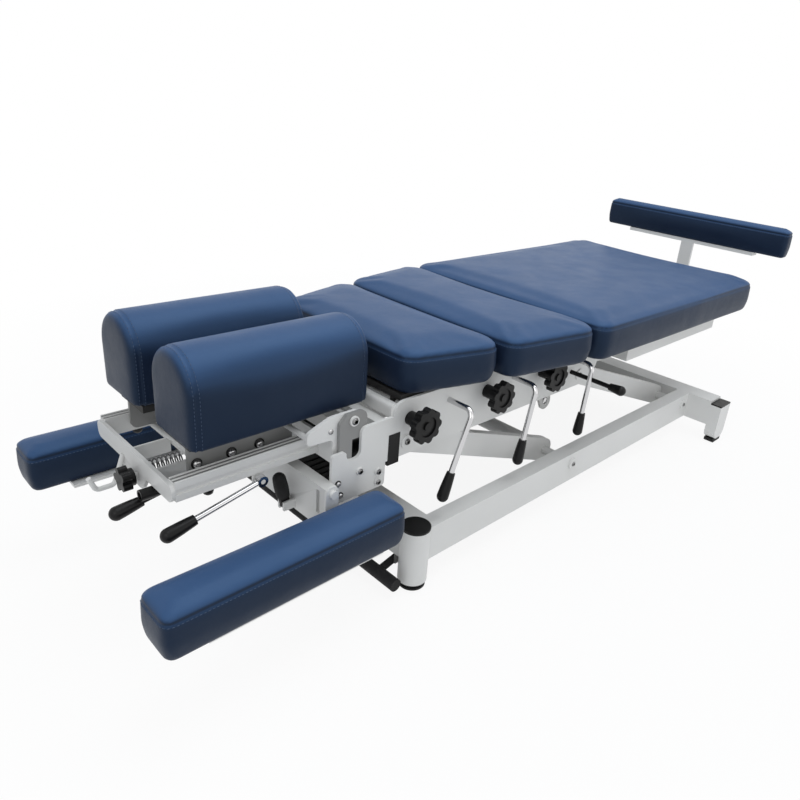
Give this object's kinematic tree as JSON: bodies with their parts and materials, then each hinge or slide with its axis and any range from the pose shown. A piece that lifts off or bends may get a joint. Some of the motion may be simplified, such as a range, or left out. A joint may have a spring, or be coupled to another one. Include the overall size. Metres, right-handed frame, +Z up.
{
  "type": "chiropractic table",
  "caption": "Chiropractic drop table: split cushions on a frame raised by parallel arms, with cocking levers, tilting head section, armrests and a sliding ankle rest.",
  "frame": {"origin": "on the floor under the middle of the table's overall length and width", "axes": "+X to the foot end, +Y to the far side, +Z up; the patient lies along X with the head at -X"},
  "size_m": [1.93, 0.718, 0.56],
  "materials": {
    "white_steel": "off-white powder coat, satin",
    "grey_steel": "dark grey powder coat",
    "navy_upholstery": "navy synthetic leather, fine grain",
    "chrome_rod": "polished",
    "black_plastic": "moulded black plastic",
    "black_rubber": "black rubber",
    "zinc_fastener": "zinc plated",
    "ply_board": "dark stained plywood"
  },
  "bodies": {
    "root": {"base_rails": "white_steel", "front_cross_beam": "white_steel", "rear_cross_beam": "white_steel", "corner_posts": "white_steel", "post_caps": "black_plastic", "feet": "black_rubber", "base_axles": "zinc_fastener", "foot_bar_brackets": "grey_steel"},
    "foot_bar": {"foot_bar": "black_rubber"},
    "front_arms": {"front_lift_arms": "white_steel", "front_torque_tube": "white_steel"},
    "top_frame": {"side_plate_near": "white_steel", "side_plate_far": "white_steel", "plate_inserts": "black_plastic", "frame_cross_members": "white_steel", "front_crossbar": "white_steel", "pelvic_rails": "white_steel", "frame_bolts": "zinc_fastener", "actuator_motor": "black_plastic", "actuator_tube": "black_plastic"},
    "rear_arms": {"rear_lift_arms": "white_steel", "rear_top_shaft": "white_steel", "lift_lever_plates": "white_steel"},
    "actuator_rod": {"actuator_rod": "chrome_rod"},
    "thoracic_section": {"thoracic_board": "ply_board", "thoracic_cushion": "navy_upholstery"},
    "lumbar_section": {"lumbar_board": "ply_board", "lumbar_cushion": "navy_upholstery"},
    "pelvic_section": {"pelvic_board": "ply_board", "pelvic_cushion": "navy_upholstery"},
    "thoracic_lever": {"thoracic_lever": "chrome_rod", "thoracic_lever_grip": "black_plastic"},
    "lumbar_lever": {"lumbar_lever": "chrome_rod", "lumbar_lever_grip": "black_plastic"},
    "pelvic_lever": {"pelvic_lever": "chrome_rod", "pelvic_lever_grip": "black_plastic"},
    "thoracic_knob": {"thoracic_tension_knob": "black_plastic"},
    "lumbar_knob": {"lumbar_tension_knob": "black_plastic"},
    "pelvic_knob": {"pelvic_tension_knob": "black_plastic"},
    "rear_release": {"rear_release_lever": "black_plastic"},
    "head_frame": {"head_arm_plates": "white_steel", "head_cross_plate": "white_steel", "head_rails": "white_steel", "head_front_plate": "white_steel"},
    "head_carriage": {"head_carriage_plates": "white_steel", "head_boards": "ply_board", "head_cushion_near": "navy_upholstery", "head_cushion_far": "navy_upholstery"},
    "head_drop_lever": {"head_drop_lever": "chrome_rod", "head_drop_grip": "black_plastic"},
    "head_star_knob": {"head_star_knob": "black_plastic"},
    "head_release": {"head_release_lever": "black_plastic"},
    "head_lock": {"head_lock_lever": "black_plastic"},
    "tilt_release": {"tilt_release_lever": "black_rubber"},
    "armrest_near": {"armrest_arm_near": "white_steel", "armrest_cushion_near": "navy_upholstery"},
    "armrest_far": {"armrest_arm_far": "white_steel", "armrest_cushion_far": "navy_upholstery"},
    "ankle_rest": {"ankle_rest_bracket": "white_steel", "ankle_cushion": "navy_upholstery"}
  },
  "joints": [
    {"name": "lift", "type": "hinge", "parent": "root", "child": "front_arms", "pos_m": [-0.009, 0, 0.095], "axis": [0, 1, 0], "range_deg": [0, 43]},
    {"name": "frame_level", "type": "hinge", "parent": "front_arms", "child": "top_frame", "pos_m": [-0.46954, 0, 0.26811], "axis": [0, 1, 0], "range_deg": [-43, 0]},
    {"name": "rear_arm_swing", "type": "hinge", "parent": "root", "child": "rear_arms", "pos_m": [0.537, 0, 0.095], "axis": [0, 1, 0], "range_deg": [0, 43]},
    {"name": "actuator_stroke", "type": "slide", "parent": "top_frame", "child": "actuator_rod", "axis": [-1, 0, 0], "range_m": [0, 0.0933]},
    {"name": "foot_bar_press", "type": "hinge", "parent": "root", "child": "foot_bar", "pos_m": [-0.49, 0, 0.038], "axis": [0, 1, 0], "range_deg": [-6, 6], "stiffness_Nm_per_rad": 25},
    {"name": "thoracic_cocking", "type": "hinge", "parent": "top_frame", "child": "thoracic_lever", "pos_m": [-0.366, 0, 0.322], "axis": [0, 1, 0], "range_deg": [0, 30]},
    {"name": "thoracic_drop", "type": "hinge", "parent": "top_frame", "child": "thoracic_section", "pos_m": [-0.466, 0, 0.331], "axis": [0, -1, 0], "range_deg": [0, 3.6]},
    {"name": "lumbar_cocking", "type": "hinge", "parent": "top_frame", "child": "lumbar_lever", "pos_m": [-0.176, 0, 0.322], "axis": [0, 1, 0], "range_deg": [0, 30]},
    {"name": "lumbar_drop", "type": "hinge", "parent": "top_frame", "child": "lumbar_section", "pos_m": [-0.04, 0, 0.331], "axis": [0, 1, 0], "range_deg": [0, 2.7]},
    {"name": "pelvic_cocking", "type": "hinge", "parent": "top_frame", "child": "pelvic_lever", "pos_m": [0.027, 0, 0.322], "axis": [0, 1, 0], "range_deg": [0, 30]},
    {"name": "pelvic_drop", "type": "hinge", "parent": "top_frame", "child": "pelvic_section", "pos_m": [0.692, 0, 0.331], "axis": [0, 1, 0], "range_deg": [0, 0.54]},
    {"name": "thoracic_tension", "type": "hinge", "parent": "top_frame", "child": "thoracic_knob", "pos_m": [-0.464, -0.19, 0.313], "axis": [0, -1, 0], "continuous": true},
    {"name": "lumbar_tension", "type": "hinge", "parent": "top_frame", "child": "lumbar_knob", "pos_m": [-0.259, -0.19, 0.313], "axis": [0, -1, 0], "continuous": true},
    {"name": "pelvic_tension", "type": "hinge", "parent": "top_frame", "child": "pelvic_knob", "pos_m": [-0.079, -0.19, 0.313], "axis": [0, -1, 0], "continuous": true},
    {"name": "rear_release_pull", "type": "slide", "parent": "top_frame", "child": "rear_release", "axis": [0, -1, 0], "range_m": [0, 0.012], "stiffness_N_per_m": 400},
    {"name": "head_tilt", "type": "hinge", "parent": "top_frame", "child": "head_frame", "pos_m": [-0.586, 0, 0.34], "axis": [0, 1, 0], "range_deg": [-12, 12]},
    {"name": "head_cocking", "type": "hinge", "parent": "head_frame", "child": "head_drop_lever", "pos_m": [-0.733, -0.143, 0.262], "axis": [0, -1, 0], "range_deg": [0, 20]},
    {"name": "head_drop", "type": "hinge", "parent": "head_frame", "child": "head_carriage", "pos_m": [-0.662, 0, 0.322], "axis": [0, 1, 0], "range_deg": [0, 3]},
    {"name": "head_tension", "type": "hinge", "parent": "head_frame", "child": "head_star_knob", "pos_m": [-0.886, -0.016, 0.262], "axis": [-1, 0, 0], "continuous": true},
    {"name": "head_release_pull", "type": "hinge", "parent": "head_frame", "child": "head_release", "pos_m": [-0.792, -0.052, 0.254], "axis": [0, -1, 0], "range_deg": [0, 10]},
    {"name": "head_lock_turn", "type": "hinge", "parent": "head_frame", "child": "head_lock", "pos_m": [-0.8, -0.066, 0.257], "axis": [1, 0, 0], "range_deg": [0, 90]},
    {"name": "tilt_release_swing", "type": "hinge", "parent": "top_frame", "child": "tilt_release", "pos_m": [-0.67, -0.112, 0.178], "axis": [0, -1, 0], "range_deg": [0, 12]},
    {"name": "armrest_near_swing", "type": "hinge", "parent": "top_frame", "child": "armrest_near", "pos_m": [-0.645, -0.206, 0.236], "axis": [0, 1, 0], "range_deg": [0, 50]},
    {"name": "armrest_far_swing", "type": "hinge", "parent": "top_frame", "child": "armrest_far", "pos_m": [-0.645, 0.206, 0.236], "axis": [0, 1, 0], "range_deg": [0, 50]},
    {"name": "ankle_slide", "type": "slide", "parent": "top_frame", "child": "ankle_rest", "axis": [1, 0, 0], "range_m": [0, 0.1]}
  ],
  "couplings": [
    {"joint": "frame_level", "follows": "lift", "ratio": -1},
    {"joint": "rear_arm_swing", "follows": "lift", "ratio": 1},
    {"joint": "actuator_stroke", "follows": "lift", "m_per_rad": 0.1242},
    {"joint": "thoracic_drop", "follows": "thoracic_cocking", "ratio": 0.12},
    {"joint": "lumbar_drop", "follows": "lumbar_cocking", "ratio": 0.088},
    {"joint": "pelvic_drop", "follows": "pelvic_cocking", "ratio": 0.017},
    {"joint": "head_drop", "follows": "head_cocking", "ratio": 0.15}
  ]
}
